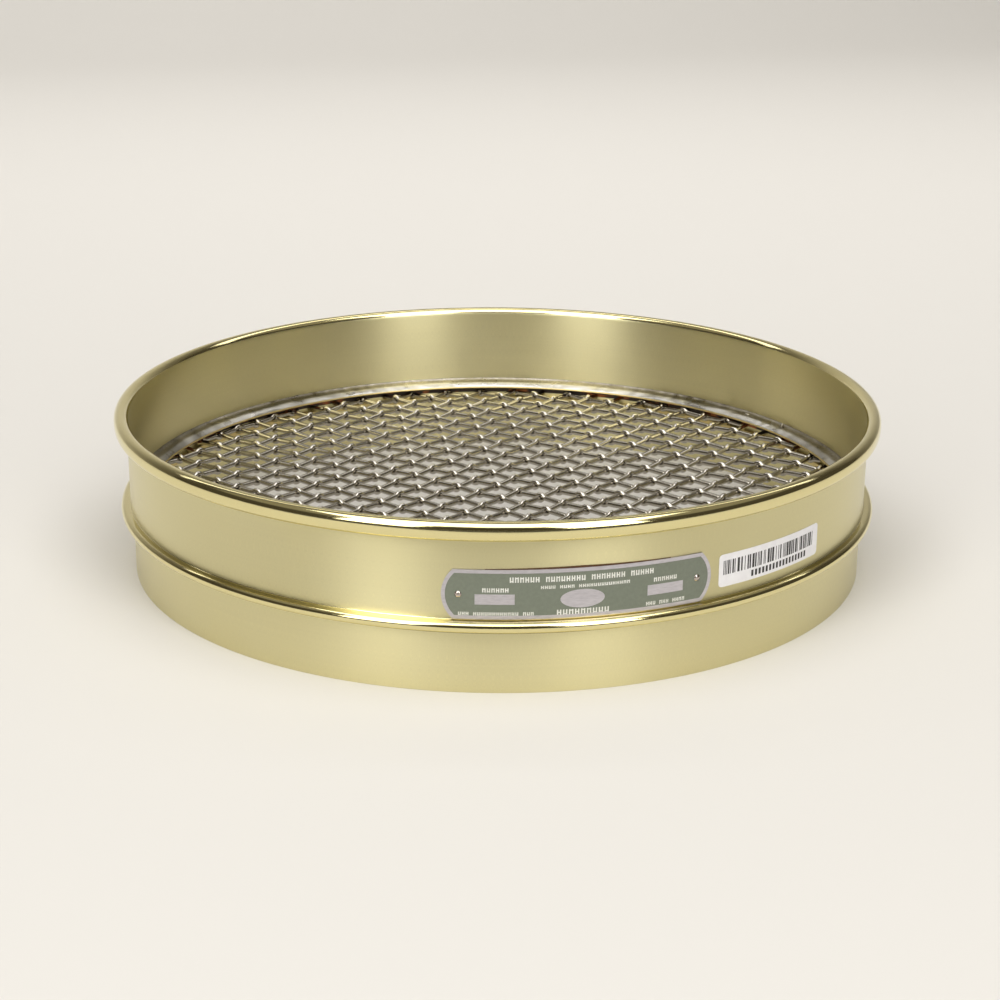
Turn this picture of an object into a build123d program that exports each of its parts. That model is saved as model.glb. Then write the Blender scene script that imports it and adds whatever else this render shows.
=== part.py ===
from build123d import *
from math import asin, ceil, degrees, floor, sin, sqrt
import os

# Test sieve, 12 inch, half height, with 9.5 mm wire cloth. Millimetres, +Z up.
# The origin is the middle of the skirt's lower edge, and the nameplate faces -Y.

# Frame: one spun brass sheet, rolled over at the top and beaded where the skirt enters it.
nest_diameter = 304.8        # bore that takes the skirt of the next sieve
nesting_clearance = 0.2      # radial, between a skirt and the bore it enters
sheet = 0.8                  # brass sheet of wall and skirt
overall_height = 66.7
skirt_height = 24.5          # skirt below the joint bead
rim_width = 5.9              # rolled rim, from the inner wall outwards
rim_straight = 1.5           # upright part between the two turns of the roll
joint_bead_height = 4.2
joint_bead_reach = 3.8       # beyond the wall's outside
joint_blend = 0.9            # radius at mid-sheet where the wall turns out into the bead
hem_gap = 0.15               # hairline between a rolled edge and the wall beside it

# Skirt, retaining ring, hoop and solder, which hold the cloth.
skirt_tuck = 3.9             # skirt hidden behind the joint bead
press_gap = 0.1              # radial, between rings pressed into one another
lead_in = 0.1                # radial, over the hidden faces that are pressed together
grip_gap = 0.05              # between a ring and the cloth that it holds
flange_reach = 6.2           # retaining ring, from the wall inwards
flange_thickness = 0.7
leg_height = 0.4             # retaining ring's leg, down onto the cloth
leg_thickness = 0.9
hoop_width = 2.0
hoop_height = 2.0
solder_rise = 3.0            # up the wall from the flange
solder_film = 0.4            # thickness at the flange's inner edge
solder_corner = 0.9          # thickness where the film meets the upright part
solder_foot = 1.9            # width of the upright part at the corner
solder_waist = 0.8           # width of the upright part halfway up
solder_setback = 0.2         # bare brass left at the flange's inner edge
solder_gap = 0.05            # between solder and the brass it wets

# Wire cloth, plain weave.
aperture = 9.7               # 9.5 nominal, and within what weaving varies
wire_diameter = 2.24
weave_gap = 0.04             # between two wires where they cross
wire_end_gap = 0.5           # from a wire's end to the skirt
shortest_wire = 60.0         # shorter offcuts at the edge fall out of the weave
cloth_turn = 40.1            # degrees, of the warp from +X
cloth_shift = (3.6, 3.2)     # crossing nearest the middle, along warp and shute

# Nameplate and its two rivets.
plate_length = 101.2         # along the wall
plate_height = 18.8
plate_bulge = 4.2            # how far the curved ends stand beyond the corners
plate_thickness = 0.5
plate_border = 1.7           # bare metal round the enamel
wall_seat = 0.05             # between the wall and what is fixed to it
enamel_depth = 0.1
enamel_gap = 0.02            # between the enamel and the floor of its recess
window_size = (14.2, 3.9)
window_inset = 19.1          # from the plate's end to the window's middle
window_drop = 1.8            # below the plate's middle
oval_size = (16.2, 7.0)
oval_drop = 2.2
rivet_inset = 6.1            # from the plate's end to the rivet
rivet_shank = 1.6
rivet_hole = 1.8
rivet_head = 2.5
rivet_head_height = 0.6
rivet_setback = 0.1          # tail below the inner wall

# Paper label.
label_length = 55.4
label_height = 12.6
label_corner = 1.5
label_thickness = 0.15
label_gap = 4.0              # along the wall, from the nameplate's end
label_rise = 9.7             # from the wall's foot to the label's middle

# Radii and heights that follow from the sizes above.
bore_r = nest_diameter / 2
wall_mid_r = bore_r + sheet / 2
wall_r = bore_r + sheet
skirt_r = bore_r - nesting_clearance
skirt_inner_r = skirt_r - sheet
skirt_top = skirt_height + skirt_tuck
joint_top = skirt_height + joint_bead_height
wall_foot = joint_top - sheet / 2 + joint_blend
rim_r = (rim_width - sheet) / 2
rim_turn_top = overall_height - rim_width / 2
rim_turn_bottom = rim_turn_top - rim_straight
flange_outer_r = bore_r - press_gap
flange_inner_r = flange_outer_r - flange_reach
flange_top = skirt_top + flange_thickness
solder_top = flange_top + solder_gap + solder_rise
leg_outer_r = skirt_inner_r - press_gap

pitch = aperture + wire_diameter
knuckle = wire_diameter / 2 / sqrt(1 - (wire_diameter / pitch) ** 2)
crimp = knuckle + weave_gap / 2
cloth_half = crimp + knuckle
cloth_z = skirt_top - leg_height - grip_gap - cloth_half
cloth_r = skirt_inner_r - wire_end_gap

plate_inner_r = wall_r + wall_seat
plate_outer_r = plate_inner_r + plate_thickness
plate_z = wall_foot + plate_height / 2

nodes = {}


def ring(profile):
    """A solid turned from a profile drawn with X as radius and Y as height."""
    return revolve(Plane.XZ * profile, axis=Axis.Z, revolution_arc=360)


def rectangle(inner_r, outer_r, low, high):
    """A profile between two radii and two heights."""
    middle = ((inner_r + outer_r) / 2, (low + high) / 2)
    return Pos(*middle) * Rectangle(outer_r - inner_r, high - low)


def on_wall(outline, inner_r, outer_r, azimuth, height):
    """A curved plate: the stretch of tube behind an outline, turned to an azimuth from -Y."""
    drawn = Plane.XZ * Pos(0, height) * outline
    prism = extrude(drawn, amount=outer_r + sheet)
    tube = ring(rectangle(inner_r, outer_r, 0, overall_height))
    return Rot(0, 0, azimuth) * (tube & prism)


def across(arc_length, radius):
    """The straight width that an arc length on a cylinder shows when seen from the front."""
    return 2 * radius * sin(arc_length / 2 / radius)


def around(arc_length, radius):
    """The angle in degrees that an arc length takes up on a cylinder."""
    return degrees(arc_length / radius)


# %% Upper frame: the middle line of the sheet, from the hem under the bead to the roll's end.
def upper_frame():
    bead_r = (joint_bead_height - sheet) / 2
    bead_x = wall_r + joint_bead_reach - sheet / 2 - bead_r
    hem_z = skirt_height + sheet / 2
    shoulder_z = hem_z + 2 * bead_r
    blend_x = wall_mid_r + joint_blend
    rim_x = wall_mid_r + rim_r
    curl = degrees(asin((rim_r - sheet / 2 - hem_gap) / (rim_r + sheet / 2)))

    middle_line = Line((skirt_r + hem_gap, hem_z), (bead_x, hem_z))
    middle_line += CenterArc((bead_x, hem_z + bead_r), bead_r, -90, 180)
    middle_line += Line((bead_x, shoulder_z), (blend_x, shoulder_z))
    middle_line += CenterArc((blend_x, wall_foot), joint_blend, 180, 90)
    middle_line += Line((wall_mid_r, wall_foot), (wall_mid_r, rim_turn_top))
    middle_line += CenterArc((rim_x, rim_turn_top), rim_r, 0, 180)
    middle_line += Line((rim_x + rim_r, rim_turn_top), (rim_x + rim_r, rim_turn_bottom))
    middle_line += CenterArc((rim_x, rim_turn_bottom), rim_r, -90 - curl, 90 + curl)
    return ring(trace(middle_line, line_width=sheet)) - foot_taper()


def foot_taper():
    """The wall widens towards its foot, so that the retaining ring goes in; solder hides it."""
    drop = solder_top - wall_foot
    apex = (bore_r, solder_top)
    return ring(make_face(Polyline(apex, (bore_r + 2 * lead_in, solder_top - 2 * drop),
                                   (bore_r, solder_top - 2 * drop), close=True)))


# %% Rings that hold the cloth.
def skirt():
    """A plain band, narrowed a little where it is pressed up behind the joint bead."""
    outline = Polyline((skirt_inner_r, 0), (skirt_r, 0), (skirt_r, skirt_height - lead_in),
                       (skirt_r - lead_in, skirt_top), (skirt_inner_r, skirt_top), close=True)
    return ring(make_face(outline))


def retaining_ring():
    flange = rectangle(flange_inner_r, flange_outer_r, skirt_top, flange_top)
    leg = rectangle(leg_outer_r - leg_thickness, leg_outer_r, skirt_top - leg_height, skirt_top)
    return ring(flange + leg)


def support_hoop():
    hoop_top = cloth_z - cloth_half - grip_gap
    return ring(rectangle(leg_outer_r - hoop_width, leg_outer_r, hoop_top - hoop_height, hoop_top))


def solder_fillet():
    low = flange_top + solder_gap
    outer = bore_r - solder_gap
    inner = flange_inner_r + solder_setback
    film = [(inner, low), (outer, low), (outer, solder_top)]
    film += [(outer - solder_waist, low + solder_rise / 2), (outer - solder_foot, low + solder_corner)]
    film += [(inner, low + solder_film)]
    return ring(make_face(Polyline(*film, close=True)))


# %% Wire cloth: every wire is crimped, over one and under the next.
def wire(offset, cross_shift, first_over):
    """A crimped wire along X at a given Y, passing over the crossings of even number or odd."""
    half_length = sqrt(cloth_r ** 2 - (abs(offset) + wire_diameter / 2) ** 2)
    first = floor((-half_length - cross_shift) / pitch)
    last = ceil((half_length - cross_shift) / pitch)
    bends = []
    for number in range(first, last + 1):
        side = 1 if (number + first_over) % 2 == 0 else -1
        bends.append((cross_shift + number * pitch, offset, cloth_z + side * crimp))
    path = Polyline(*bends)
    flat = wire_diameter / sqrt(2)
    section = Plane(origin=path @ 0, x_dir=(0, 1, 0), z_dir=path % 0) * Rot(0, 0, 45)
    strand = sweep(section * Rectangle(flat, flat), path=path, transition=Transition.RIGHT)
    cut = Box(2 * half_length, 2 * wire_diameter, 4 * cloth_half)
    return strand & Pos(0, offset, cloth_z) * cut


def wire_numbers(shift):
    """The numbers of the wires that are long enough to stay in the cloth."""
    reach = sqrt(cloth_r ** 2 - (shortest_wire / 2) ** 2)
    return range(ceil((-reach - shift) / pitch), floor((reach - shift) / pitch) + 1)


def warp_wires():
    for place, number in enumerate(wire_numbers(cloth_shift[1]), start=1):
        strand = wire(cloth_shift[1] + number * pitch, cloth_shift[0], number + 1)
        nodes[f"warp_wire_{place:02d}"] = Rot(0, 0, cloth_turn) * strand


def shute_wires():
    for place, number in enumerate(wire_numbers(cloth_shift[0]), start=1):
        offset = cloth_shift[0] + number * pitch
        strand = wire(-offset, cloth_shift[1], number)
        nodes[f"shute_wire_{place:02d}"] = Rot(0, 0, cloth_turn + 90) * strand


# %% Nameplate: an etched plate, its recess filled with enamel, held by two rivets.
def plate_outline(inset):
    half_x = across(plate_length, plate_outer_r) / 2 - inset
    half_y = plate_height / 2 - inset
    corner_x = half_x - plate_bulge
    outline = Line((-corner_x, half_y), (corner_x, half_y))
    outline += ThreePointArc((corner_x, half_y), (half_x, 0), (corner_x, -half_y))
    outline += Line((corner_x, -half_y), (-corner_x, -half_y))
    outline += ThreePointArc((-corner_x, -half_y), (-half_x, 0), (-corner_x, half_y))
    return make_face(outline)


def enamel_outline():
    field = plate_outline(plate_border)
    window_x = across(plate_length - 2 * window_inset, plate_outer_r) / 2
    for side in (-1, 1):
        field -= Pos(side * window_x, -window_drop) * Rectangle(*window_size)
    return field - Pos(0, -oval_drop) * Ellipse(oval_size[0] / 2, oval_size[1] / 2)


def rivet_azimuths():
    angle = around(plate_length / 2 - rivet_inset, plate_outer_r)
    return (-angle, angle)


def rivet_holes():
    """Two pegs that clear the rivet shanks through plate and wall."""
    reach = plate_outer_r + rivet_head_height
    peg = extrude(Plane.XZ * Pos(0, plate_z) * Circle(rivet_hole / 2), amount=reach)
    return [Rot(0, 0, azimuth) * peg for azimuth in rivet_azimuths()]


def nameplate():
    plate = on_wall(plate_outline(0), plate_inner_r, plate_outer_r, 0, plate_z)
    floor_r = plate_outer_r - enamel_depth
    plate -= on_wall(enamel_outline(), floor_r, plate_outer_r + sheet, 0, plate_z)
    for hole in rivet_holes():
        plate -= hole
    return plate


def nameplate_enamel():
    floor_r = plate_outer_r - enamel_depth + enamel_gap
    field = on_wall(enamel_outline(), floor_r, plate_outer_r, 0, plate_z)
    for hole in rivet_holes():
        field -= hole
    return field


def rivet(azimuth):
    """A round-headed rivet lying along its own axis, then stood in its hole."""
    tail = bore_r + rivet_setback
    seat = plate_outer_r + wall_seat
    top = seat + rivet_head_height
    outline = Line((0, tail), (rivet_shank / 2, tail))
    outline += Line((rivet_shank / 2, tail), (rivet_shank / 2, seat))
    outline += Line((rivet_shank / 2, seat), (rivet_head / 2, seat))
    outline += TangentArc((0, top), (rivet_head / 2, seat), tangent=(1, 0))
    outline += Line((0, top), (0, tail))
    turned = revolve(make_face(outline), axis=Axis.Y, revolution_arc=360)
    return Rot(0, 0, azimuth) * Pos(0, 0, plate_z) * Rot(180, 0, 0) * turned


# %% Label.
def barcode_label():
    inner_r = wall_r + wall_seat
    outer_r = inner_r + label_thickness
    outline = RectangleRounded(across(label_length, outer_r), label_height, label_corner)
    azimuth = around((plate_length + label_length) / 2 + label_gap, plate_outer_r)
    return on_wall(outline, inner_r, outer_r, azimuth, wall_foot + label_rise)


# %% All the nodes, one file each.
nodes["upper_frame"] = upper_frame()
for peg in rivet_holes():
    nodes["upper_frame"] -= peg
nodes["skirt"] = skirt()
nodes["retaining_ring"] = retaining_ring()
nodes["support_hoop"] = support_hoop()
nodes["solder_fillet"] = solder_fillet()
warp_wires()
shute_wires()
nodes["nameplate"] = nameplate()
nodes["nameplate_enamel"] = nameplate_enamel()
for side, azimuth in zip(("left", "right"), rivet_azimuths()):
    nodes[f"plate_rivet_{side}"] = rivet(azimuth)
nodes["barcode_label"] = barcode_label()

os.makedirs("parts", exist_ok=True)
for name, solid in nodes.items():
    export_step(solid, f"parts/{name}.step")
print(len(nodes), "nodes; cloth mid-plane at", round(cloth_z, 2), "mm")
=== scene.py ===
# %% [markdown]
# # A brass test sieve
# A test sieve is a short brass tube with woven wire across it. Sieves of this kind stand in a
# stack, so the lower end of each one, the skirt, slides into the rolled rim of the next.
# The solid model gives every place and size. This lesson dresses it: sheet metal that is
# spun, wire that is crimped, solder that has run, and a riveted nameplate.

# %% Load the solid model
import bmesh
import bpy
import random
from math import asin, ceil, cos, degrees, floor, pi, radians, sin, sqrt, tan
from mathutils import Matrix, Vector, noise


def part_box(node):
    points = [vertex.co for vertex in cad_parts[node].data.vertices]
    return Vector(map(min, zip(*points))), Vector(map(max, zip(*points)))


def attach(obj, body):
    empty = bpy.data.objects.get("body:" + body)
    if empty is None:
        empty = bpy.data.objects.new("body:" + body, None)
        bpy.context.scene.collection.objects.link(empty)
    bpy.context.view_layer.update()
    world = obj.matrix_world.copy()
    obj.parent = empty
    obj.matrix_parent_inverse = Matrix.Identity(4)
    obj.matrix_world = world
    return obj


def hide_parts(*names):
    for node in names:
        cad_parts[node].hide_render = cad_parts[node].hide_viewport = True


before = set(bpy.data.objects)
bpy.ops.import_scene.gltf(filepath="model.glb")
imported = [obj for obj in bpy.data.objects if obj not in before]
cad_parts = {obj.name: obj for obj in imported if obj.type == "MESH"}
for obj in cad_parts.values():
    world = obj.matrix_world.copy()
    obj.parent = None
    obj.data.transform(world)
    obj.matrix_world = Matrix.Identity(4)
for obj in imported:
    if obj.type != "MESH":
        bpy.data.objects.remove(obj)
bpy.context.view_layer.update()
MM = 0.001
print(len(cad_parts), "solids loaded")

# %% [markdown]
# ## Sizes
# Blender works in metres, and a maker thinks in millimetres. Every size below is in
# millimetres, and MM turns it into metres at the moment a vertex is placed.

# %% Sizes of the frame
bore_r = 152.4
sheet = 0.8
wall_r = bore_r + sheet
wall_mid_r = bore_r + sheet / 2
skirt_r = 152.2
skirt_height = 24.5
skirt_top = 28.4
ring_outer_r = 152.3
wall_foot = 29.2
frame_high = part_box("upper_frame")[1]
print("rim at", round(frame_high[2] / MM, 2), "mm, outside radius", round(frame_high[0] / MM, 2), "mm")

# %% [markdown]
# ## Camera and colours
# The camera is made first, because every later choice is judged through it. A lens of
# 75 mm on a 36 mm sensor is a mild telephoto, so the near rim isn't blown up. The lamps and
# the cards of the set are placed from the camera's side, so its azimuth has a name.

# %% Camera
view_azimuth = -11.5
lens = bpy.data.cameras.new("camera")
lens.lens = 75.53
lens.sensor_width = 36.0
lens.clip_end = 100.0
camera = bpy.data.objects.new("camera", lens)
camera.location = (-0.16806, -0.82606, 0.31226)
camera.rotation_euler = (radians(70.937), radians(-0.367), radians(-11.458))
bpy.context.scene.collection.objects.link(camera)
bpy.context.scene.camera = camera
print("camera", round(camera.location.length / MM), "mm from the middle of the base")


# %% [markdown]
# Colours are picked on a screen as sRGB hex values, but the renderer adds light in linear
# numbers. One function makes the change, so that no colour is converted twice or not at all.

# %% Colour helper
def linear(hex_value):
    """An sRGB colour such as "C8B070" as the linear colour that a shader takes."""
    parts = [int(hex_value[i:i + 2], 16) / 255 for i in (0, 2, 4)]
    return tuple(c / 12.92 if c <= 0.04045 else ((c + 0.055) / 1.055) ** 2.4 for c in parts) + (1.0,)


print("half bright on a screen is", round(linear("808080")[0], 3), "of the light of white")


# %% [markdown]
# A material is a small graph of nodes. One function adds a node of any kind, sets its
# properties, and fills its sockets with numbers or with the output of another node. Nothing
# real has one even colour, so `mottle` gives the small parts two tones that blend in patches.

# %% Node helper
def add(tree, kind, sockets, **settings):
    """Adds a node; a socket is given a value, or another node's output to be linked to it."""
    made = tree.nodes.new("ShaderNode" + kind)
    for name, value in settings.items():
        setattr(made, name, value)
    for name, value in sockets.items():
        if isinstance(value, bpy.types.NodeSocket):
            tree.links.new(value, made.inputs[name])
        else:
            made.inputs[name].default_value = value
    return made


def start_material(name, colour, metallic, roughness):
    """A material and its shader, with the values that are typical for the real thing."""
    material = bpy.data.materials.new(name)
    material.use_nodes = True
    shader = material.node_tree.nodes["Principled BSDF"]
    shader.inputs["Base Color"].default_value = linear(colour)
    shader.inputs["Metallic"].default_value = metallic
    shader.inputs["Roughness"].default_value = roughness
    return material, material.node_tree, shader


def mottle(tree, shader, size, detail, dark, light):
    """Lets the colour wander between two tones, in patches of a size in millimetres."""
    place = add(tree, "TexCoord", {}).outputs["Object"]
    patches = add(tree, "TexNoise", {"Vector": place, "Scale": 1 / (size * MM), "Detail": detail})
    tone = add(tree, "Mix", {0: patches.outputs["Fac"], 6: linear(dark), 7: linear(light)},
               data_type="RGBA")
    tree.links.new(tone.outputs[2], shader.inputs["Base Color"])
    return patches.outputs["Fac"]


print("helpers for nodes and materials are ready")


# %% [markdown]
# ## Brass
# The frame is spun from yellow brass sheet. Emery cloth held against it while it turned
# left fine grooves that run round the wall, so a highlight on it is drawn out across the
# grooves, up and down. The shader calls this anisotropy, and its tangent says which way
# the grooves run: here always round the axis, which is the cross product of up and place.
#
# The lines themselves are noise, stretched a long way round and packed tight in height and
# radius. A groove of 0.05 mm is too fine to show, so the lines are drawn 0.8 mm wide.

# %% Brass materials
line_width = 0.8
cloud_size = 60


def spun_brass(name, colour, roughness, anisotropy, line_strength):
    """Yellow brass turned on a lathe: grooves round the axis, and a faint cloudiness."""
    material, tree, shader = start_material(name, colour, 1.0, roughness)
    place = add(tree, "TexCoord", {}).outputs["Object"]
    grooves = add(tree, "VectorMath", {0: (0.0, 0.0, 1.0), 1: place}, operation="CROSS_PRODUCT")
    tree.links.new(grooves.outputs[0], shader.inputs["Tangent"])
    shader.inputs["Anisotropic"].default_value = anisotropy
    shader.inputs["Anisotropic Rotation"].default_value = 0.25

    flat = add(tree, "VectorMath", {0: place, 1: (1.0, 1.0, 0.0)}, operation="MULTIPLY")
    radius = add(tree, "VectorMath", {0: flat.outputs[0]}, operation="LENGTH")
    spread = add(tree, "VectorMath", {0: place, 1: (0.012, 0.012, 1.0)}, operation="MULTIPLY")
    lines = add(tree, "TexNoise", {"Vector": spread.outputs[0], "Scale": 1 / (line_width * MM),
                                     "Detail": 2.0}, noise_dimensions="4D")
    turned = add(tree, "Math", {0: radius.outputs["Value"], 1: 1 / (line_width * MM)}, operation="MULTIPLY")
    tree.links.new(turned.outputs[0], lines.inputs["W"])
    clouds = add(tree, "TexNoise", {"Vector": place, "Scale": 1 / (cloud_size * MM), "Detail": 3.0})

    darker = [c * 0.84 for c in linear(colour)[:3]] + [1.0]
    tone = add(tree, "Mix", {0: lines.outputs["Fac"], 6: tuple(darker), 7: linear(colour)},
               data_type="RGBA")
    warm = add(tree, "Mix", {0: clouds.outputs["Fac"], 6: tone.outputs[2], 7: linear("E6DAA0")},
               data_type="RGBA")
    soften = add(tree, "MapRange", {"Value": clouds.outputs["Fac"], "From Min": 0.3, "From Max": 0.7,
                                    "To Min": 0.0, "To Max": 0.25})
    tree.links.new(soften.outputs[0], warm.inputs[0])
    tree.links.new(warm.outputs[2], shader.inputs["Base Color"])
    gloss = add(tree, "MapRange", {"Value": lines.outputs["Fac"], "From Min": 0.2, "From Max": 0.8,
                                   "To Min": roughness * 0.85, "To Max": roughness * 1.15})
    tree.links.new(gloss.outputs[0], shader.inputs["Roughness"])
    relief = add(tree, "Bump", {"Height": lines.outputs["Fac"], "Strength": line_strength,
                                "Distance": 0.02 * MM})
    tree.links.new(relief.outputs[0], shader.inputs["Normal"])
    return material


# The wall and the skirt are brushed; the rolled rim and the bead were buffed bright.
brushed_brass = spun_brass("brushed yellow brass", "ECE4B6", 0.34, 0.85, 0.60)
buffed_brass = spun_brass("buffed yellow brass", "EEE3AC", 0.10, 0.5, 0.10)
plain_brass = spun_brass("plain brass strip", "DCC68A", 0.40, 0.4, 0.20)
print("brass: brushed, buffed and plain")


# %% [markdown]
# ## How a profile is drawn and spun
# A lathe piece is one line turned round an axis. The line is drawn like a pencil's track:
# `straight` extrudes the tip vertex to a new point, and `turn` spins it round a centre, so
# each arc has its true radius. Then the whole track is spun once round the axis.

# %% Profile helpers
def start_profile(bm, radius, height):
    return bm.verts.new((radius * MM, 0, height * MM))


def straight(bm, tip, radius, height):
    """Draws the profile on to a radius and a height, and gives back its new tip."""
    tip = bmesh.ops.extrude_vert_indiv(bm, verts=[tip])["verts"][0]
    tip.co = (radius * MM, 0, height * MM)
    return tip


def turn(bm, tip, centre, angle, steps):
    """Draws the profile on round a centre, anticlockwise if the angle in degrees is positive."""
    made = bmesh.ops.spin(bm, geom=[tip], cent=(centre[0] * MM, 0, centre[1] * MM), axis=(0, -1, 0),
                          dvec=(0, 0, 0), angle=radians(angle), steps=steps)
    return [item for item in made["geom_last"] if isinstance(item, bmesh.types.BMVert)][0]


def spin_round(bm, steps):
    """Spins the profile once round the sieve's axis and closes the seam."""
    bmesh.ops.spin(bm, geom=bm.verts[:] + bm.edges[:], cent=(0, 0, 0), axis=(0, 0, 1), dvec=(0, 0, 0),
                   angle=2 * pi, steps=steps, use_merge=True)
    bmesh.ops.remove_doubles(bm, verts=bm.verts, dist=0.0005 * MM)
    bmesh.ops.recalc_face_normals(bm, faces=bm.faces)


def crease(bm, angle):
    """Shades smooth, but keeps each edge crisp that turns by more than the angle in degrees."""
    for face in bm.faces:
        face.smooth = True
    for edge in bm.edges:
        if len(edge.link_faces) == 2 and edge.calc_face_angle(0) > radians(angle):
            edge.smooth = False


def make_object(bm, name, materials):
    """Turns a bmesh into an object in the scene."""
    mesh = bpy.data.meshes.new(name)
    bm.to_mesh(mesh)
    bm.free()
    made = bpy.data.objects.new(name, mesh)
    bpy.context.scene.collection.objects.link(made)
    for material in materials:
        mesh.materials.append(material)
    return made


def make_piece(bm, name, materials, replaced=()):
    """Turns a bmesh into an object that rides on the sieve and may stand for a solid."""
    piece = make_object(bm, name, materials)
    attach(piece, "root")
    if replaced:
        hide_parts(*replaced)
    return piece


def thicken(piece, thickness):
    """Gives a spun sheet its wall, half to each side of the line that was drawn."""
    shell = piece.modifiers.new("sheet", "SOLIDIFY")
    shell.thickness = thickness * MM
    shell.offset = 0.0
    shell.use_even_offset = True


around_steps = 288
print("a chord of", round(2 * pi * wall_r / around_steps, 2), "mm at the wall")

# %% [markdown]
# ## Upper frame
# One sheet of brass makes the wall, the rim and the bead. The rim is rolled outwards until
# its edge comes back to the wall, which makes a stiff tube that is kind to the fingers.
# At the foot the sheet turns out and under, and its hem grips the skirt.
# Drawing the middle of the sheet and thickening it keeps one thickness everywhere, which
# is what spinning does to real sheet.

# %% Upper frame
bead_r = 1.7
bead_reach = 3.8
bead_x = wall_r + bead_reach - sheet / 2 - bead_r
hem_gap = 0.15
hem_z = skirt_height + sheet / 2
blend = 0.9
rim_r = 2.55
rim_x = wall_mid_r + rim_r
rim_turn_top = 63.75
rim_turn_bottom = 62.25
curl = degrees(asin((rim_r - sheet / 2 - hem_gap) / (rim_r + sheet / 2)))

bm = bmesh.new()
tip = start_profile(bm, skirt_r + hem_gap, hem_z)
tip = straight(bm, tip, bead_x, hem_z)
tip = turn(bm, tip, (bead_x, hem_z + bead_r), 180, 16)
tip = straight(bm, tip, wall_mid_r + blend, hem_z + 2 * bead_r)
tip = turn(bm, tip, (wall_mid_r + blend, wall_foot), -90, 8)
tip = straight(bm, tip, wall_mid_r, rim_turn_top)
tip = turn(bm, tip, (rim_x, rim_turn_top), -180, 18)
tip = straight(bm, tip, rim_x + rim_r, rim_turn_bottom)
tip = turn(bm, tip, (rim_x, rim_turn_bottom), -90 - curl, 14)
spin_round(bm, around_steps)
crease(bm, 40)
for face in bm.faces:
    reach = face.calc_center_median().xy.length / MM
    face.material_index = 1 if reach > wall_mid_r + 0.1 else 0
upper_frame = make_piece(bm, "brass_upper_frame", [brushed_brass, buffed_brass],
                         ["upper_frame"])
thicken(upper_frame, sheet)
print("upper frame:", len(upper_frame.data.polygons), "faces before thickening")

# %% [markdown]
# ## Skirt and retaining ring
# The skirt is a plain band whose lower edge was eased with a file, so that it enters the
# next sieve without a scratch. Its outline is closed, so it needs no thickness afterwards.

# %% Skirt
bm = bmesh.new()
ease = 0.15
first = start_profile(bm, skirt_r - sheet, ease)
tip = turn(bm, first, (skirt_r - sheet + ease, ease), 90, 3)
tip = straight(bm, tip, skirt_r - ease, 0)
tip = turn(bm, tip, (skirt_r - ease, ease), 90, 3)
tip = straight(bm, tip, skirt_r, skirt_height - 0.1)
tip = straight(bm, tip, skirt_r - 0.1, skirt_top)
tip = straight(bm, tip, skirt_r - sheet, skirt_top)
bm.edges.new((tip, first))
spin_round(bm, around_steps)
crease(bm, 40)
skirt = make_piece(bm, "brass_skirt", [brushed_brass], ["skirt"])
print("skirt:", len(skirt.data.polygons), "faces")

# %% [markdown]
# The retaining ring is brass strip that was rolled to an angle. It lies on the skirt's top
# and presses the cloth down with its leg, and its thin inner edge was rounded, since grain
# and fingers pass it. It is spun from a closed outline too. The hoop under the cloth stays
# as the solid model has it, and only gets its material.

# %% Retaining ring
ring_low, ring_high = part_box("retaining_ring")
leg_outer_r = 151.3
leg_thickness = 0.9
flange_edge_r = 0.35
flange_inner_r = 146.1
flange_top = skirt_top + 0.7
leg_foot = skirt_top - 0.4
bm = bmesh.new()
first = start_profile(bm, ring_outer_r, flange_top)
tip = straight(bm, first, flange_inner_r + flange_edge_r, flange_top)
tip = turn(bm, tip, (flange_inner_r + flange_edge_r, flange_top - flange_edge_r), 180, 8)
tip = straight(bm, tip, leg_outer_r - leg_thickness, skirt_top)
tip = straight(bm, tip, leg_outer_r - leg_thickness, leg_foot)
tip = straight(bm, tip, leg_outer_r, leg_foot)
tip = straight(bm, tip, leg_outer_r, skirt_top)
tip = straight(bm, tip, ring_outer_r, skirt_top)
bm.edges.new((tip, first))
spin_round(bm, around_steps)
crease(bm, 40)
make_piece(bm, "brass_retaining_ring", [plain_brass], ["retaining_ring"])
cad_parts["support_hoop"].data.materials.clear()
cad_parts["support_hoop"].data.materials.append(plain_brass)
print("retaining ring from z", round(ring_low[2] / MM, 2), "to", round(ring_high[2] / MM, 2))

# %% [markdown]
# ## Solder
# Soft solder seals the ring to the wall, so that no grain can lodge behind the cloth. Its
# lower part is bright tin, wiped and smeared, and the thin skin drawn up the wall is dull and
# grainy. So the material blends two tones by height, and one noise serves as colour and relief.

# %% Solder material
dull_from = 1.45
dull_to = 1.8
soft_solder, tree, shader = start_material("soft tin solder", "C9C5BC", 1.0, 0.34)
place = add(tree, "TexCoord", {}).outputs["Object"]
smears = add(tree, "TexNoise", {"Vector": place, "Scale": 1 / (9 * MM), "Detail": 4.0})
grain = add(tree, "TexNoise", {"Vector": place, "Scale": 1 / (0.9 * MM), "Detail": 3.0})
dull = add(tree, "MapRange", {"Value": smears.outputs["Fac"], "From Min": 0.35, "From Max": 0.65,
                              "To Min": 0.24, "To Max": 0.46})
tree.links.new(dull.outputs[0], shader.inputs["Roughness"])
film = add(tree, "Mix", {0: smears.outputs["Fac"], 6: linear("98958F"), 7: linear("E4E2DE")},
           data_type="RGBA")
crust = add(tree, "Mix", {0: grain.outputs["Fac"], 6: linear("6E675A"), 7: linear("ABA598")},
            data_type="RGBA")
height = add(tree, "SeparateXYZ", {0: place}).outputs["Z"]
wiped_up = add(tree, "MapRange", {"Value": height, "From Min": (flange_top + dull_from) * MM,
                                  "From Max": (flange_top + dull_to) * MM, "To Min": 0.0, "To Max": 1.0})
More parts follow.
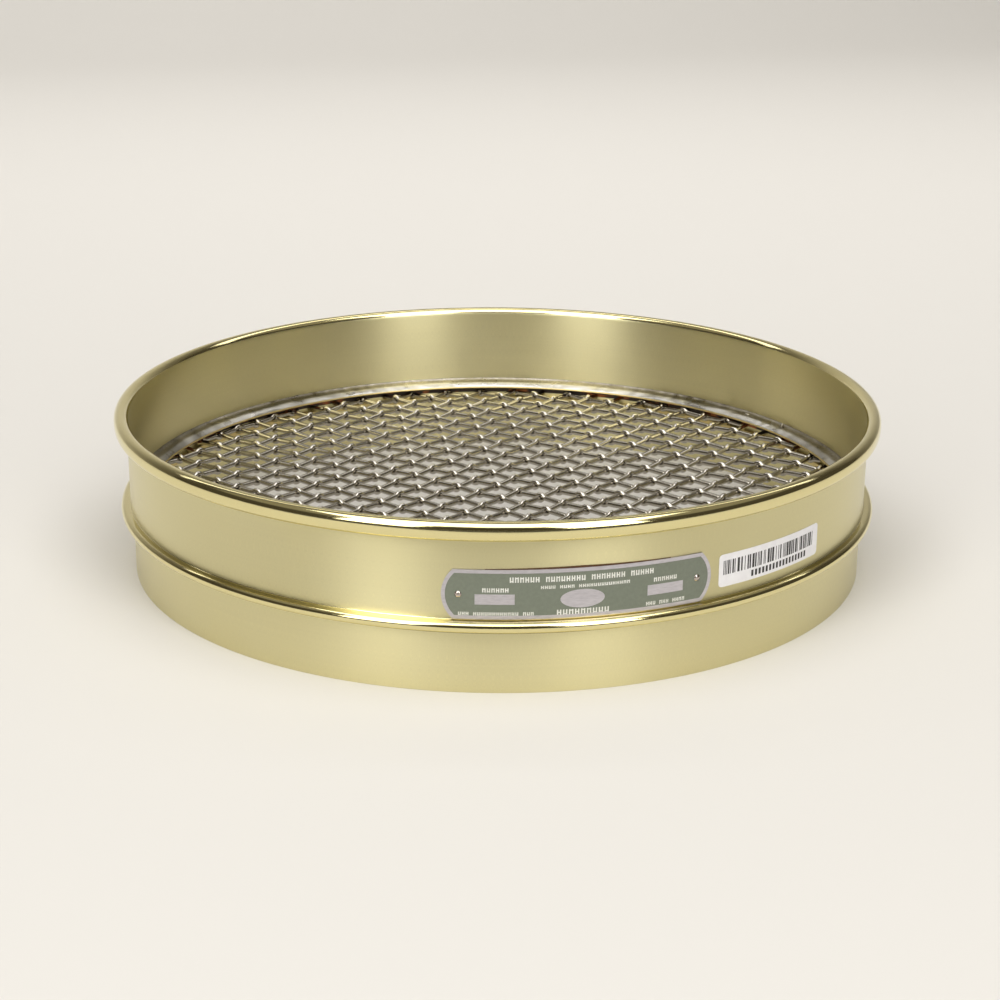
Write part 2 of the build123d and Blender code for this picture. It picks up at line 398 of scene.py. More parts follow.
tone = add(tree, "Mix", {0: wiped_up.outputs[0], 6: film.outputs[2], 7: crust.outputs[2]},
           data_type="RGBA")
tree.links.new(tone.outputs[2], shader.inputs["Base Color"])
relief = add(tree, "Bump", {"Height": grain.outputs["Fac"], "Strength": 0.5, "Distance": 0.10 * MM})
tree.links.new(relief.outputs[0], shader.inputs["Normal"])
print("solder is dull from", round(flange_top + dull_from, 2), "mm up")

# %% [markdown]
# The solder ran while it was molten and froze with ripples, so a clean cone would look wrong.
# It stands steep at the ring's edge, nearly level above the ring, and climbs the wall again.
# The profile is spun finely, then every vertex of its free surface moves by smooth noise.
# Noise that is read from the vertex's own place gives neighbours nearly the same push:
# ripples, not spikes.

# %% Solder
solder_low = flange_top + 0.05
bm = bmesh.new()
first = start_profile(bm, ring_outer_r, solder_low)
tip = straight(bm, first, ring_outer_r, solder_low + 2.9)
for radius, height in ((151.9, 2.5), (151.5, 2.2), (151.0, 1.98), (150.3, 1.85), (149.6, 1.74), (148.9, 1.6),
                       (148.4, 1.38), (147.9, 1.05), (147.4, 0.7), (147.0, 0.4), (146.75, 0.17), (146.6, 0)):
    tip = straight(bm, tip, radius, solder_low + height)
bm.edges.new((tip, first))
spin_round(bm, 720)


def ripple(point):
    """How far the solder's surface stands up or sinks at a point, in millimetres."""
    broad = noise.noise(Vector(point) / (11 * MM))
    fine = noise.noise(Vector(point) / (3.2 * MM) + Vector((5, 0, 0)))
    patch = max(0.0, noise.noise(Vector(point) / (45 * MM) + Vector((0, 9, 0))) + 0.2)
    return 0.16 * broad + (0.08 + 0.34 * patch) * fine


bm.normal_update()
moves = []
for vert in bm.verts:
    free = vert.co.z > (solder_low + 0.2) * MM and vert.co.xy.length < (ring_outer_r - 0.1) * MM
    if free:
        moves.append((vert, vert.normal * ripple(vert.co) * MM))
for vert, move in moves:
    vert.co += move
crease(bm, 60)
make_piece(bm, "soft_solder", [soft_solder], ["solder_fillet"])
print("solder:", len(moves), "vertices rippled")

# %% [markdown]
# One drop of solder ran down and froze on the film, and beside it a flatter one. Each is a
# ball that is pressed flat against the slope, so its foot is sunk into the solder.

# %% Solder drops
bm = bmesh.new()
drop_places = ((108.5, 150.2, 31.2, (1.0, 0.9, 1.9)),
               (111.0, 150.0, 30.3, (1.5, 1.0, 0.8)),
               (118.0, 150.6, 30.7, (2.0, 1.0, 1.1)))
for azimuth, radius, height, size in drop_places:
    seat = (Matrix.Rotation(radians(azimuth), 4, "Z")
            @ Matrix.Translation((0, -radius * MM, height * MM)) @ Matrix.Diagonal((*size, 1)))
    bmesh.ops.create_icosphere(bm, subdivisions=3, radius=MM, matrix=seat)
bmesh.ops.recalc_face_normals(bm, faces=bm.faces)
crease(bm, 80)
drops = make_piece(bm, "solder_drops", [soft_solder])
print("drops of solder:", len(drops.data.polygons), "faces")

# %% [markdown]
# Under the ring's edge the skirt lies in shade, so a dark band is put there as painted shade;
# it also covers the ends of the wires on the skirt. It shows as a dark line below the ring's
# edge, and its orange spots are painted reflection of the brass round it.

# %% Painted shade under the ring
# Painted shade: a dark band where the ring shades the skirt, with orange spots of painted reflection.
painted_ring_shade, tree, shader = start_material("painted ring shade and reflection", "3A2412", 0.0, 0.55)
place = add(tree, "TexCoord", {}).outputs["Object"]
reflection_spot_noise = add(tree, "TexNoise", {"Vector": place, "Scale": 1 / (9 * MM), "Detail": 3.0})
painted_reflection_mask = add(tree, "MapRange", {"Value": reflection_spot_noise.outputs["Fac"], "From Min": 0.52, "From Max": 0.62,
                               "To Min": 0.0, "To Max": 1.0})
tone = add(tree, "Mix", {0: painted_reflection_mask.outputs[0], 6: linear("33261A"), 7: linear("A8622A")}, data_type="RGBA")
tree.links.new(tone.outputs[2], shader.inputs["Base Color"])
bm = bmesh.new()
ring_shade_outer_r = 151.3
ring_shade_drop = 3.2
first = start_profile(bm, ring_shade_outer_r, skirt_top - 0.02)
tip = straight(bm, first, ring_shade_outer_r, skirt_top - ring_shade_drop)
tip = straight(bm, tip, ring_shade_outer_r - 0.15, skirt_top - ring_shade_drop)
tip = straight(bm, tip, 150.9, skirt_top - 0.6)
tip = straight(bm, tip, 150.3, skirt_top - 0.38)
tip = straight(bm, tip, 146.75, skirt_top - 0.38)
tip = straight(bm, tip, 146.5, skirt_top - 0.02)
bm.edges.new((tip, first))
spin_round(bm, 720)
for vert in bm.verts:
    if vert.co.z < (skirt_top - 0.3) * MM:
        vert.co.z += 0.12 * MM * noise.noise(vert.co / (2.5 * MM))
crease(bm, 40)
ring_shade_band = make_piece(bm, "painted_ring_shade", [painted_ring_shade])
print("shade band under the ring:", len(ring_shade_band.data.polygons), "faces")

# %% [markdown]
# ## Wire cloth
# The cloth is plain woven: each wire goes over one cross wire and under the next. Stiff wire
# can't bend gently at each crossing, so it is crimped first: short knuckles where it crosses,
# and nearly level runs between them. Two arcs and a run make a quarter of the wave. How far
# the knuckle bends follows from the pitch and the wire's thickness, and a few rounds of
# correction find it.

# %% Wire sizes
pitch = 11.94
wire_r = 1.12
weave_gap = 0.04
crest = wire_r + weave_gap / 2
knuckle_r = 2.3
shoulder_r = 2.0
run_slope = radians(2.5)
cloth_z = 25.65
cloth_r = 150.9
cloth_turn = 40.1
cloth_shift = (3.6, 3.2)
shortest_wire = 60.0


def run_start(bend):
    """Where the straight run starts, if the knuckle bends down by this angle: along, and height."""
    along = knuckle_r * sin(bend) + shoulder_r * (sin(bend) - sin(run_slope))
    height = crest - knuckle_r * (1 - cos(bend)) - shoulder_r * (cos(run_slope) - cos(bend))
    return along, height


steep = radians(20)
for _ in range(40):
    along, height = run_start(steep)
    steep += 0.2 * (height - (pitch / 2 - along) * tan(run_slope))
print("the knuckle bends down by", round(degrees(steep), 1), "degrees, and the run starts",
      round(along, 2), "mm from the crossing")


# %% [markdown]
# All wires are alike, so one long crimped wire is made first. It starts straight, as a circle
# extruded station by station. Each vertex stores its place in an attribute before the wire
# is bent. The material reads that, so the drawing marks follow the wire round its knuckles.

# %% Crimped wire
def stations_of_a_crossing():
    """Along, height and slope of the wire's middle line, at one knuckle that stands up."""
    places = []
    for part in (0, 1 / 3, 2 / 3, 1):
        bend = steep * part
        places.append((knuckle_r * sin(bend), crest - knuckle_r * (1 - cos(bend)), bend))
    for part in (1 / 3, 2 / 3, 1):
        bend = steep + (run_slope - steep) * part
        along = knuckle_r * sin(steep) + shoulder_r * (sin(steep) - sin(bend))
        height = crest - knuckle_r * (1 - cos(steep)) - shoulder_r * (cos(bend) - cos(steep))
        places.append((along, height, bend))
    before = [(-along, height, -bend) for along, height, bend in reversed(places[1:])]
    return before + places


def next_station(bm, rim, x):
    """Extrudes the open end of the wire to the next station."""
    made = bmesh.ops.extrude_edge_only(bm, edges=rim)["geom"]
    verts = [item for item in made if isinstance(item, bmesh.types.BMVert)]
    step = x * MM - verts[0].co.x
    bmesh.ops.translate(bm, verts=verts, vec=(step, 0, 0))
    ends = set(verts)
    edges = [item for item in made if isinstance(item, bmesh.types.BMEdge)]
    return verts, [edge for edge in edges if ends.issuperset(edge.verts)]


stations = []
for number in range(-14, 15):
    side = 1 if number % 2 == 0 else -1
    for along, height, bend in stations_of_a_crossing():
        stations.append((number * pitch + along, side * height, side * bend))
long_wire = bmesh.new()
straight_place = long_wire.verts.layers.float_vector.new("straight_place")
sideways = Matrix.Translation((stations[0][0] * MM, 0, 0)) @ Matrix.Rotation(pi / 2, 4, "Y")
made = bmesh.ops.create_circle(long_wire, segments=12, radius=wire_r * MM, matrix=sideways)
rings = [made["verts"]]
rim = long_wire.edges[:]
for along, height, bend in stations[1:]:
    verts, rim = next_station(long_wire, rim, along)
    rings.append(verts)
for vert in long_wire.verts:
    vert[straight_place] = vert.co.copy()
for verts, (along, height, bend) in zip(rings, stations):
    bmesh.ops.rotate(long_wire, verts=verts, cent=(along * MM, 0, 0), matrix=Matrix.Rotation(bend, 3, "Y"))
    bmesh.ops.translate(long_wire, verts=verts, vec=(0, 0, height * MM))
print("long wire:", len(long_wire.verts), "vertices,", len(stations), "stations")


# %% [markdown]
# Stainless wire is drawn through a die, which leaves long fine streaks along it. The tops of
# the knuckles are painted lighter than the runs, as a painted highlight.

# %% Wire material
stainless, tree, shader = start_material("drawn stainless wire", "B0AAA0", 1.0, 0.18)
along = add(tree, "Attribute", {}, attribute_name="straight_place").outputs["Vector"]
drawn = add(tree, "VectorMath", {0: along, 1: (0.05, 1.0, 1.0)}, operation="MULTIPLY")
streaks = add(tree, "TexNoise", {"Vector": drawn.outputs[0], "Scale": 1 / (0.5 * MM), "Detail": 3.0})
place = add(tree, "TexCoord", {}).outputs["Object"]
stains = add(tree, "TexNoise", {"Vector": place, "Scale": 1 / (14 * MM), "Detail": 4.0})
tone = add(tree, "Mix", {0: streaks.outputs["Fac"], 6: linear("857E72"), 7: linear("C9C4BA")},
           data_type="RGBA")
# Painted highlight: the tops of the knuckles get a lighter colour by height.
height = add(tree, "SeparateXYZ", {0: place}).outputs["Z"]
painted_highlight_mask = add(tree, "MapRange", {"Value": height, "From Min": (cloth_z + 1.5) * MM,
                              "From Max": (cloth_z + 2.3) * MM, "To Min": 0.0, "To Max": 1.0})
bright = add(tree, "Mix", {0: painted_highlight_mask.outputs[0], 6: tone.outputs[2], 7: linear("EDE9E2")}, data_type="RGBA")
tree.links.new(bright.outputs[2], shader.inputs["Base Color"])
gloss = add(tree, "MapRange", {"Value": stains.outputs["Fac"], "From Min": 0.3, "From Max": 0.7,
                               "To Min": 0.14, "To Max": 0.24})
tree.links.new(gloss.outputs[0], shader.inputs["Roughness"])
print("knuckle tops are painted lighter from", round(cloth_z + 1.5, 2), "mm up")


# %% [markdown]
# On the loom the warp wires lie side by side, and the shute wires are pushed through one by
# one. Here each wire is a copy of the long one, cut to length by a plane at each end. Every
# other wire starts one crossing later, so that its neighbours go over where it goes under.

# %% Cloth
def cut_wire(name, offset, shift, first_over, turned, mark):
    """A copy of the long wire, cut to length and laid in its place in the cloth."""
    bm = long_wire.copy()
    layer = bm.verts.layers.float_vector["straight_place"]
    for vert in bm.verts:
        vert[layer] = vert[layer] + Vector((0, mark * 7 * MM, 0))
    start = shift + pitch * (first_over % 2)
    bmesh.ops.translate(bm, verts=bm.verts, vec=(start * MM, 0, 0))
    half_length = sqrt(cloth_r ** 2 - (abs(offset) + wire_r) ** 2)
    for side in (-1, 1):
        geometry = bm.verts[:] + bm.edges[:] + bm.faces[:]
        cut = bmesh.ops.bisect_plane(bm, geom=geometry, plane_co=(side * half_length * MM, 0, 0),
                                     plane_no=(side, 0, 0), clear_outer=True)["geom_cut"]
        bmesh.ops.contextual_create(bm, geom=[g for g in cut if isinstance(g, bmesh.types.BMEdge)])
    bmesh.ops.recalc_face_normals(bm, faces=bm.faces)
    crease(bm, 50)
    place = Matrix.Rotation(radians(turned), 4, "Z") @ Matrix.Translation((0, offset * MM, cloth_z * MM))
    bmesh.ops.transform(bm, matrix=place, verts=bm.verts)
    return make_piece(bm, "round_" + name, [stainless], [name])


def wire_numbers(shift):
    """The numbers of the wires that are long enough to stay in the cloth."""
    reach = sqrt(cloth_r ** 2 - (shortest_wire / 2) ** 2)
    return range(ceil((-reach - shift) / pitch), floor((reach - shift) / pitch) + 1)


wires = []
for place_number, number in enumerate(wire_numbers(cloth_shift[1]), start=1):
    offset = cloth_shift[1] + number * pitch
    name = f"warp_wire_{place_number:02d}"
    wires.append(cut_wire(name, offset, cloth_shift[0], number + 1, cloth_turn, place_number))
for place_number, number in enumerate(wire_numbers(cloth_shift[0]), start=1):
    offset = -(cloth_shift[0] + number * pitch)
    name = f"shute_wire_{place_number:02d}"
    wires.append(cut_wire(name, offset, cloth_shift[1], number, cloth_turn + 90, 40 + place_number))
long_wire.free()
print(len(wires), "wires,", sum(len(w.data.polygons) for w in wires), "faces")

# %% [markdown]
# ## Nameplate
# The plate is etched aluminium. Its border, its two windows, the oval and all the marks
# stand at full height, and the etched field between them is filled with grey-green enamel.
# It is easiest to make it flat, as the maker did, and to roll it onto the wall at the end.
# A flat face can't bend, so planes cut it into strips first.

# %% Flat helpers
plate_outer_r = 153.75
plate_z = 38.6
strip = 2.0


def cut_into_strips(bm, half_width, spacing):
    """Cuts a flat piece by upright planes, so that it can bend round the wall."""
    for number in range(-floor(half_width / spacing), floor(half_width / spacing) + 1):
        geometry = bm.verts[:] + bm.edges[:] + bm.faces[:]
        bmesh.ops.bisect_plane(bm, geom=geometry, plane_co=(number * spacing * MM, 0, 0),
                               plane_no=(1, 0, 0))


def roll_onto_wall(bm, radius, azimuth, height):
    """Rolls a flat piece, drawn in x and z with its face at y = 0, onto a cylinder."""
    for vert in bm.verts:
        angle = vert.co.x / (radius * MM) + radians(azimuth)
        reach = radius * MM - vert.co.y
        vert.co = (reach * sin(angle), -reach * cos(angle), vert.co.z + height * MM)


def slab(bm, x, z, width, height, back, front):
    """A small block with its middle at x and z, from one depth to another."""
    size = Matrix.Diagonal((width * MM, (back - front) * MM, height * MM, 1))
    middle = Matrix.Translation((x * MM, (back + front) / 2 * MM, z * MM))
    return bmesh.ops.create_cube(bm, size=1, matrix=middle @ size)["verts"]


print("strips of", strip, "mm turn by", round(degrees(strip / plate_outer_r), 2), "degrees each")


# %% [markdown]
# The plate's outline has straight long sides and ends that are arcs of one circle. It is
# drawn with the same pencil as the profiles, filled, inset by the width of the border, and
# the inner face is pushed in to make the etched field.

# %% Plate outline
plate_half = 50.6
plate_half_height = 9.4
plate_bulge = 4.2
plate_border = 1.4
end_r = (plate_half_height ** 2 + plate_bulge ** 2) / (2 * plate_bulge)
end_angle = 2 * degrees(asin(plate_half_height / end_r))


def plate_face(bm):
    """The flat outline of the plate, as one face."""
    corner = plate_half - plate_bulge
    first = start_profile(bm, -corner, -plate_half_height)
    tip = straight(bm, first, corner, -plate_half_height)
    tip = turn(bm, tip, (plate_half - end_r, 0), end_angle, 16)
    tip = straight(bm, tip, -corner, plate_half_height)
    tip = turn(bm, tip, (end_r - plate_half, 0), end_angle, 16)
    bmesh.ops.remove_doubles(bm, verts=bm.verts, dist=0.01 * MM)
    face = bmesh.ops.contextual_create(bm, geom=bm.edges[:])["faces"][0]
    if face.normal.y > 0:
        face.normal_flip()
    return face


def extrude_back(bm, faces, depth):
    """Gives a flat sheet its thickness, away from the front."""
    made = bmesh.ops.extrude_face_region(bm, geom=faces, use_keep_orig=True)["geom"]
    verts = [item for item in made if isinstance(item, bmesh.types.BMVert)]
    bmesh.ops.translate(bm, verts=verts, vec=(0, depth * MM, 0))
    bmesh.ops.recalc_face_normals(bm, faces=bm.faces)


print("the plate's ends are arcs of radius", round(end_r, 2), "mm")


# %% [markdown]
# Aluminium plate that was rolled and then wiped has short, soft marks along its length.
# Enamel is glossy glass or hard paint: it isn't metal, and its highlight has no colour.

# %% Plate materials
satin_aluminium, tree, shader = start_material("satin aluminium", "C6C4C1", 1.0, 0.38)
place = add(tree, "TexCoord", {}).outputs["Object"]
wiped = add(tree, "VectorMath", {0: place, 1: (0.2, 0.2, 1.0)}, operation="MULTIPLY")
marks = add(tree, "TexNoise", {"Vector": wiped.outputs[0], "Scale": 1 / (0.5 * MM), "Detail": 3.0})
tone = add(tree, "Mix", {0: marks.outputs["Fac"], 6: linear("B8B4BA"), 7: linear("E6E2E8")},
           data_type="RGBA")
tree.links.new(tone.outputs[2], shader.inputs["Base Color"])
gloss = add(tree, "MapRange", {"Value": marks.outputs["Fac"], "To Min": 0.30, "To Max": 0.50})
tree.links.new(gloss.outputs[0], shader.inputs["Roughness"])

field_enamel, tree, shader = start_material("grey-green enamel", "6F7566", 0.0, 0.28)
specks = mottle(tree, shader, 1.2, 4.0, "686E60", "787E70")
orange_peel = add(tree, "Bump", {"Height": specks, "Strength": 0.15, "Distance": 0.03 * MM})
tree.links.new(orange_peel.outputs[0], shader.inputs["Normal"])

filling_white, tree, shader = start_material("white filling paint", "E6E5DE", 0.0, 0.45)
mottle(tree, shader, 4, 4.0, "C6C5BC", "F4F3EE")
print("plate: aluminium, enamel and white paint")

# %% [markdown]
# The marks on the plate are plain dashes. Each stands for a word: small blocks of uneven
# width, in the places and sizes that a plate like this has its lines of lettering. The
# windows and the oval stay bare metal, at the height of the border.

# %% Nameplate
random.seed(12)
plate_thickness = 0.5
raised = 0.3


def dashes(bm, left, right, z, height, words):
    """A line of dashes from left to right, in words; each dash is two or three thin strokes."""
    count = sum(words) + len(words) - 1
    step = (right - left) / count
    x = left
    for word in words:
        for _ in range(word):
            stroke = step * 0.24
            rise = random.choice((0.0, 0.0, 0.3, -0.3)) * height
            parts = [(x + stroke / 2, z, stroke, height), (x + step * 0.62, z, stroke, height),
                     (x + step * 0.4, z + rise, step * 0.5, height * 0.2)]
            for middle, level, width, tall in parts:
                for vert in slab(bm, middle, level, width, tall, raised, 0.0):
                    for face in vert.link_faces:
                        face.material_index = 1
            x += step
        x += step


bm = bmesh.new()
field = plate_face(bm)
bmesh.ops.inset_region(bm, faces=[field], thickness=plate_border * MM, use_boundary=True,
                       use_even_offset=True)
bmesh.ops.inset_region(bm, faces=[field], thickness=0.02 * MM, depth=-0.1 * MM)
extrude_back(bm, bm.faces[:], plate_thickness)
for side in (-1, 1):
    slab(bm, side * 31.5, -1.8, 14.2, 3.9, raised, 0.0)
oval = bmesh.ops.create_circle(bm, cap_ends=True, segments=48, radius=MM,
                               matrix=Matrix.Translation((0, 0.0, -2.2 * MM))
                               @ Matrix.Rotation(pi / 2, 4, "X") @ Matrix.Diagonal((8.1, 3.5, 1, 1)))
oval_face = list({face for vert in oval["verts"] for face in vert.link_faces})
made = bmesh.ops.extrude_face_region(bm, geom=oval_face, use_keep_orig=True)["geom"]
bmesh.ops.translate(bm, verts=[g for g in made if isinstance(g, bmesh.types.BMVert)],
                    vec=(0, raised * MM, 0))
dashes(bm, -26.2, 27.0, 5.6, 2.0, (6, 8, 7, 5))
dashes(bm, -15.1, 17.8, 2.6, 1.2, (4, 4, 14))
dashes(bm, -35.9, -26.2, 1.7, 1.6, (6,))
dashes(bm, 26.8, 36.3, 2.0, 1.6, (6,))
dashes(bm, -44.5, -17.3, -7.3, 1.3, (3, 12, 3))
dashes(bm, -9.3, 10.3, -7.1, 2.0, (9,))
dashes(bm, 24.0, 39.7, -6.9, 1.4, (3, 3, 4))
bmesh.ops.recalc_face_normals(bm, faces=bm.faces)
cut_into_strips(bm, plate_half, strip)
roll_onto_wall(bm, plate_outer_r, 0, plate_z)
crease(bm, 30)
nameplate = make_piece(bm, "etched_nameplate", [satin_aluminium, filling_white],
                       ["nameplate"])
print("nameplate:", len(nameplate.data.polygons), "faces")

# %% [markdown]
# The enamel was poured into the etched field and rubbed level. It is the same outline with
# the border taken off, and it lies a little below the marks, so that they stay proud.

# %% Enamel
bm = bmesh.new()
field = plate_face(bm)
border = bmesh.ops.inset_region(bm, faces=[field], thickness=plate_border * MM, use_boundary=True,
                                use_even_offset=True)
bmesh.ops.delete(bm, geom=border["faces"], context="FACES")
extrude_back(bm, bm.faces[:], 0.06)
bmesh.ops.translate(bm, verts=bm.verts, vec=(0, 0.03 * MM, 0))
cut_into_strips(bm, plate_half, strip)
roll_onto_wall(bm, plate_outer_r, 0, plate_z)
crease(bm, 30)
enamel = make_piece(bm, "enamel_field", [field_enamel], ["nameplate_enamel"])
print("enamel:", len(enamel.data.polygons), "faces")

# %% [markdown]
# The plate's upper edge doesn't quite touch the wall, and the gap there lies in shade. A thin
# dark strip, thickest in the middle, is painted shadow along it.

# %% Painted shadow above the plate
# Painted shadow: this dark material stands for shade in gaps and creases, not for dirt.
painted_gap_shadow, tree, shader = start_material("painted gap shadow", "4A3018", 0.0, 0.7)
mottle(tree, shader, 3, 3.0, "2E1C0E", "6B4522")
bm = bmesh.new()
shadow_strip_step = 1.9
for step in range(36):
    x = -34 + step * shadow_strip_step
    full = 1 - abs(x) / 40
    slab(bm, x, plate_half_height + 0.3 * full, shadow_strip_step, 0.75 * full, 0.55, 0.3)
bmesh.ops.remove_doubles(bm, verts=bm.verts, dist=0.001 * MM)
bmesh.ops.recalc_face_normals(bm, faces=bm.faces)
roll_onto_wall(bm, plate_outer_r, 0, plate_z)
gap_shadow_strip = make_piece(bm, "painted_gap_shadow", [painted_gap_shadow])
print("shadow strip above the plate:", len(gap_shadow_strip.data.polygons), "faces")

# %% [markdown]
# The same painted shadow lies in the corner where the bead's hem stands out over the skirt.
# It is a thin band round the skirt, spun like the sheet parts, and reads as a dark line there.

# %% Painted shadow under the bead
band_width = 1.8
# Painted shade: a dark band where the bead shades the skirt just below it.
bm = bmesh.new()
first = start_profile(bm, skirt_r + 0.01, hem_z - 0.1)
tip = straight(bm, first, skirt_r + 0.14, hem_z - 0.15)
tip = straight(bm, tip, skirt_r + 0.05, hem_z - band_width)
tip = straight(bm, tip, skirt_r + 0.01, hem_z - band_width)
bm.edges.new((tip, first))
spin_round(bm, 360)
crease(bm, 40)
crease_shadow_band = make_piece(bm, "painted_crease_shadow_under_bead", [painted_gap_shadow])
print("band under the bead:", len(crease_shadow_band.data.polygons), "faces")

# %% [markdown]
# Two small rivets hold the plate. Their heads were set with a dished punch, which leaves a
# low dome; it is a short arc spun round the rivet's own axis.

# %% Rivets
rivet_metal, tree, shader = start_material("nickel plated rivet", "CDB9A6", 1.0, 0.24)
mottle(tree, shader, 0.8, 3.0, "A0928A", "DAD0C8")
rivet_x = 44.5
shank_r = 0.8
shank_length = 1.2
head_r = 1.25
head_height = 0.6
dome_r = (head_r ** 2 + head_height ** 2) / (2 * head_height)
dome_angle = degrees(asin(head_r / dome_r))
for side, name in ((-1, "plate_rivet_left"), (1, "plate_rivet_right")):
    bm = bmesh.new()
    tip = start_profile(bm, shank_r, -shank_length)
    tip = straight(bm, tip, shank_r, 0)
    tip = straight(bm, tip, head_r, 0)
    tip = turn(bm, tip, (0, head_height - dome_r), dome_angle, 8)
    spin_round(bm, 32)
    bmesh.ops.contextual_create(bm, geom=[edge for edge in bm.edges if edge.is_boundary])
    bmesh.ops.recalc_face_normals(bm, faces=bm.faces)
    crease(bm, 40)
    bmesh.ops.rotate(bm, verts=bm.verts, cent=(0, 0, 0), matrix=Matrix.Rotation(pi / 2, 3, "X"))
    bmesh.ops.translate(bm, verts=bm.verts, vec=(0, -(plate_outer_r + 0.05) * MM, plate_z * MM))
    azimuth = side * rivet_x / plate_outer_r
    bmesh.ops.rotate(bm, verts=bm.verts, cent=(0, 0, 0), matrix=Matrix.Rotation(azimuth, 3, "Z"))
    make_piece(bm, "domed_" + name, [rivet_metal], [name])
print("rivets: dome radius", round(dome_r, 2), "mm")

# %% [markdown]
# ## Label
# A printed film label sits beside the plate. Film is white all through, with a soft gloss,
# and printing ink on it is a little duller. Both are plastics, so they aren't metallic.

# %% Label materials
white_film, tree, shader = start_material("white label film", "E9E7EA", 0.0, 0.42)
mottle(tree, shader, 2.5, 4.0, "E0DEE2", "F1F0F2")
printing_ink, tree, shader = start_material("black printing ink", "2B2929", 0.0, 0.50)
mottle(tree, shader, 0.7, 3.0, "1C1A1B", "3A3838")
print("label: film and ink")

# %% [markdown]
# The label was cut from a sheet with rounded corners, and pressed onto the wall. Its bars
# are very thin slabs, so they keep crisp edges at any distance. Their widths are drawn by
# lot from a few steps, as a code would have them, and they follow no code.

# %% Label
label_length = 55.4
label_height = 12.6
label_gap = 4.0
label_thickness = 0.15
label_corner = 1.5
ink_thickness = 0.02
label_outer_r = wall_r + 0.2
label_azimuth = degrees((plate_half + label_length / 2 + label_gap) / plate_outer_r)
label_z = wall_foot + 9.7
bm = bmesh.new()
sheet_verts = bmesh.ops.create_grid(bm, x_segments=1, y_segments=1, size=0.5,
                                    matrix=Matrix.Rotation(pi / 2, 4, "X")
                                    @ Matrix.Diagonal((label_length * MM, label_height * MM, 1, 1)))["verts"]
bmesh.ops.bevel(bm, geom=sheet_verts, offset=label_corner * MM, offset_type="OFFSET",
                affect="VERTICES", segments=6, profile=0.5, material=-1)
extrude_back(bm, bm.faces[:], label_thickness)
cut_into_strips(bm, label_length / 2, strip)
roll_onto_wall(bm, label_outer_r, label_azimuth, label_z)
crease(bm, 30)
make_piece(bm, "film_label", [white_film], ["barcode_label"])

bm = bmesh.new()
x = -25.7
while x < 24.0:
    width = random.choice((0.35, 0.35, 0.7, 1.05))
    slab(bm, x + width / 2, 1.05, width, 5.5, 0.0, -ink_thickness)
    x += width + random.choice((0.35, 0.35, 0.7, 1.05))
x = -12.0
while x < 20.0:
    slab(bm, x + 0.55, -3.85, 1.1, 2.4, 0.0, -ink_thickness)
    x += 1.9
bmesh.ops.recalc_face_normals(bm, faces=bm.faces)
roll_onto_wall(bm, label_outer_r, label_azimuth, label_z)
ink = make_piece(bm, "label_ink", [printing_ink])
print("label at azimuth", round(label_azimuth, 1), "degrees, ink of", len(ink.data.polygons), "faces")

# %% [markdown]
# ## Studio
# The sieve stands on pale paper that sweeps up behind it, so there is no horizon line. Brass
# shows what it faces, so most of the wall's colour is the paper in front of it.

# %% Floor and backdrop
paper = start_material("matt paper", "D6D3CE", 0.0, 0.85)[0]
bm = bmesh.new()
tip = bm.verts.new((-6, -6, 0))
end = bmesh.ops.extrude_vert_indiv(bm, verts=[tip])["verts"][0]
end.co = (-6, 1.6, 0)
made = bmesh.ops.spin(bm, geom=[end], cent=(-6, 1.6, 1.2), axis=(1, 0, 0), dvec=(0, 0, 0),
                      angle=pi / 2, steps=24)
end = [item for item in made["geom_last"] if isinstance(item, bmesh.types.BMVert)][0]
top = bmesh.ops.extrude_vert_indiv(bm, verts=[end])["verts"][0]
top.co = (-6, end.co.y, 5)
made = bmesh.ops.extrude_edge_only(bm, edges=bm.edges[:])["geom"]
bmesh.ops.translate(bm, verts=[g for g in made if isinstance(g, bmesh.types.BMVert)], vec=(12, 0, 0))
bmesh.ops.recalc_face_normals(bm, faces=bm.faces)
for face in bm.faces:
    face.smooth = True
sweep = make_object(bm, "paper_sweep", [paper])
print("paper sweep:", len(sweep.data.polygons), "faces")


# %% [markdown]
# A wide lamp overhead lights everything softly. Two tall ones in front, to the left and the
# right, make the two bright bands on the wall, and again on its inside. A fourth lights only
# the paper at the back, as photographers do, so that the rim stands clear of it.

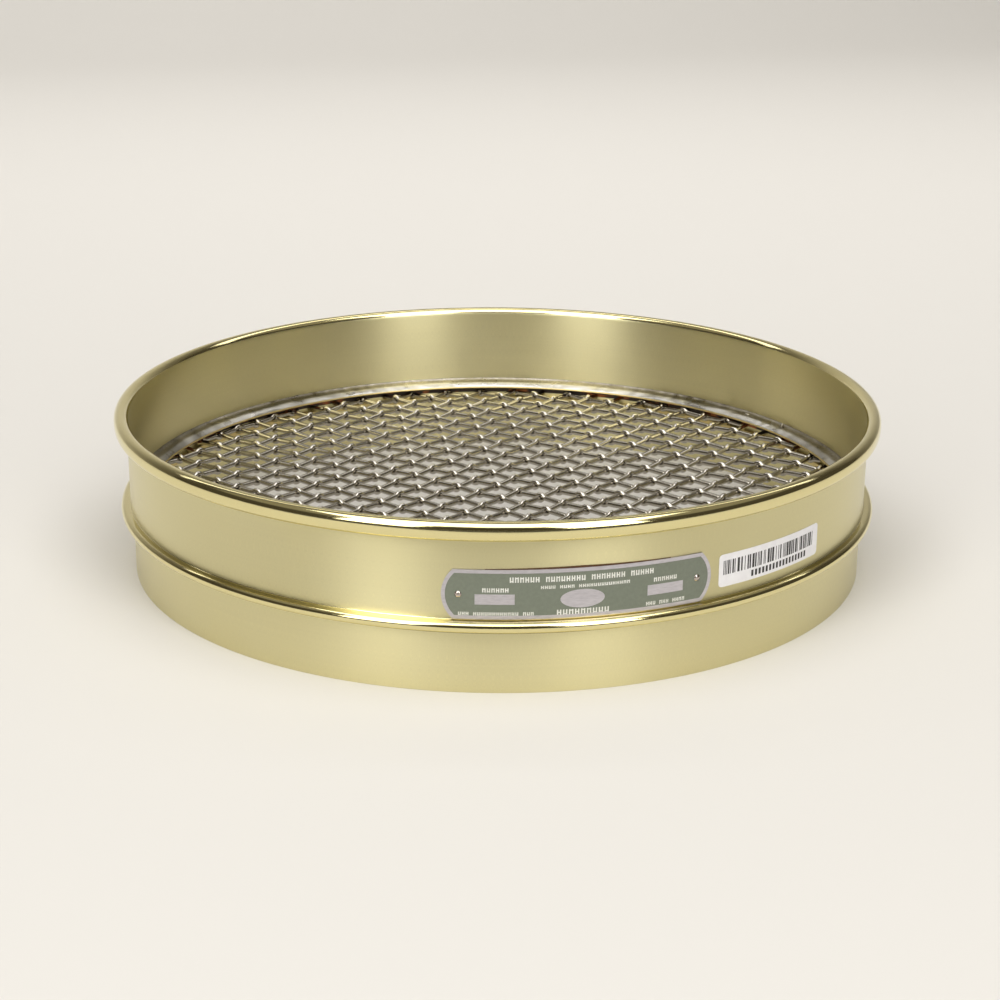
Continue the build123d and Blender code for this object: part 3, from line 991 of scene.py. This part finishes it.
# %% Lamps
def softbox(name, azimuth, elevation, distance, width, height, watts, colour):
    """A soft lamp that looks at the sieve; azimuth 0 is in front, towards the camera."""
    lamp = bpy.data.lights.new(name, "AREA")
    lamp.shape = "RECTANGLE"
    lamp.size = width
    lamp.size_y = height
    lamp.energy = watts
    lamp.color = linear(colour)[:3]
    holder = bpy.data.objects.new(name, lamp)
    a = radians(azimuth + view_azimuth)
    e = radians(elevation)
    holder.location = (distance * cos(e) * sin(a), -distance * cos(e) * cos(a), distance * sin(e))
    aim = Vector((0, 0, 0.03)) - holder.location
    holder.rotation_euler = aim.to_track_quat("-Z", "Y").to_euler()
    bpy.context.scene.collection.objects.link(holder)
    return holder


softbox("overhead", 0, 70, 2.0, 2.4, 1.9, 38, "FFFFFF")
softbox("left_front", -33, 30, 2.2, 0.8, 1.3, 15, "FFFEFA")
softbox("right_front", 30, 30, 2.2, 0.8, 1.3, 14, "FFFEFA")
background_lamp = softbox("background", 180, 55, 1.6, 3.0, 1.0, 20, "FFFEFC")
background_lamp.rotation_euler = (radians(42), 0, radians(view_azimuth))
print("lamps: overhead, two in front and one for the background")

# %% [markdown]
# A black card lies on the floor in front of the sieve, just outside the frame. Only
# reflections see it. Product photographers lay one there, because a bright bead that has
# nothing dark to mirror looks flat.

# %% Black card
black_card = start_material("black card", "1C1A17", 0.0, 0.9)[0]
bm = bmesh.new()
bmesh.ops.create_grid(bm, x_segments=1, y_segments=1, size=0.5,
                      matrix=Matrix.Rotation(radians(view_azimuth), 4, "Z")
                      @ Matrix.Translation((0, -1.17, 0.004)) @ Matrix.Diagonal((3.2, 1.6, 1, 1)))
card = make_object(bm, "black_card", [black_card])
card.visible_camera = False
card.visible_diffuse = False
card.visible_shadow = False
print("black card: seen by reflections only")

# %% [markdown]
# The room is dark up to 34 degrees above the floor and pale from 42 on. A round bead packs
# the whole room into a few millimetres, so this edge is what draws the crisp dark line
# along each bead.

# %% Room
world = bpy.data.worlds.new("room with a pale ceiling")
bpy.context.scene.world = world
world.use_nodes = True
tree = world.node_tree
looking = add(tree, "TexCoord", {}).outputs["Generated"]
rise = add(tree, "SeparateXYZ", {0: looking}).outputs["Z"]
dark_below = 34
pale_above = 42
ceiling = add(tree, "MapRange", {"Value": rise, "From Min": sin(radians(dark_below)),
                                 "From Max": sin(radians(pale_above)), "To Min": 0.0, "To Max": 1.0})
room = add(tree, "Mix", {0: ceiling.outputs[0], 6: linear("4A453C"), 7: linear("8F8A80")}, data_type="RGBA")
tree.links.new(room.outputs[2], tree.nodes["Background"].inputs["Color"])
bpy.context.scene.view_settings.view_transform = "Standard"
print("room: dark below", dark_below, "degrees, pale above", pale_above)
